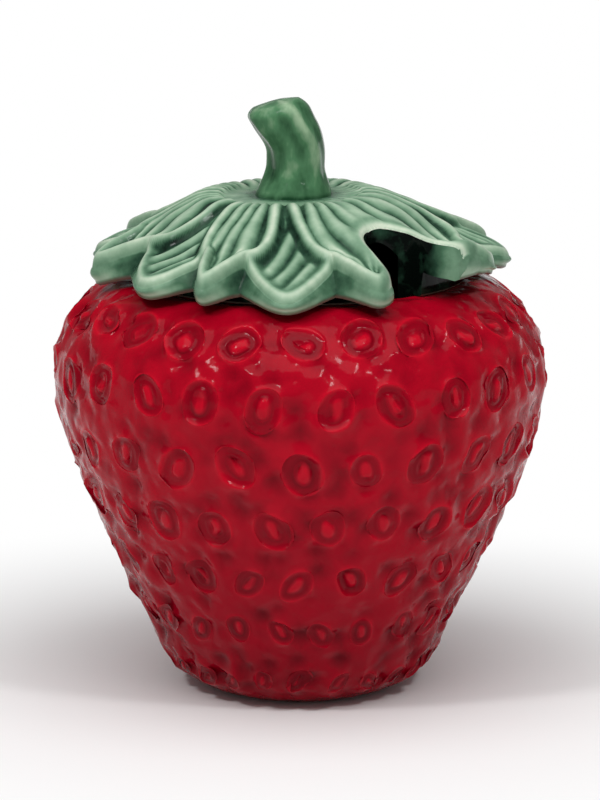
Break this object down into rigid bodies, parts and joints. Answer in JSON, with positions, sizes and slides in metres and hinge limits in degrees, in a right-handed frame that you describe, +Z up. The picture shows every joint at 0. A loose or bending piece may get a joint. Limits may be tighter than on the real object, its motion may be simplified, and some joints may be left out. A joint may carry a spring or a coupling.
{
  "type": "lidded tureen",
  "caption": "Strawberry-shaped glazed ceramic tureen with seed dimples and a leaf lid that lifts off by its stem, notched for a ladle; for serving soup, punch or fruit.",
  "frame": {"origin": "centre of the pot's foot, on the surface it stands on", "axes": "+Z up along the pot's axis and the way the lid lifts; the ladle notch faces -Y"},
  "size_m": [0.2106, 0.2106, 0.2526],
  "materials": {
    "red_glaze": "glossy transparent red glaze",
    "leaf_glaze": "glossy green glaze, pale on the ribs and dark in the grooves",
    "stem_glaze": "glossy mottled green glaze"
  },
  "bodies": {
    "pot": {"pot": "red_glaze"},
    "lid": {"lid": "leaf_glaze", "stem": "stem_glaze"}
  },
  "joints": [
    {"name": "lid_lift", "type": "slide", "parent": "pot", "child": "lid", "axis": [0, 0, 1], "range_m": [0, 0.15]}
  ]
}
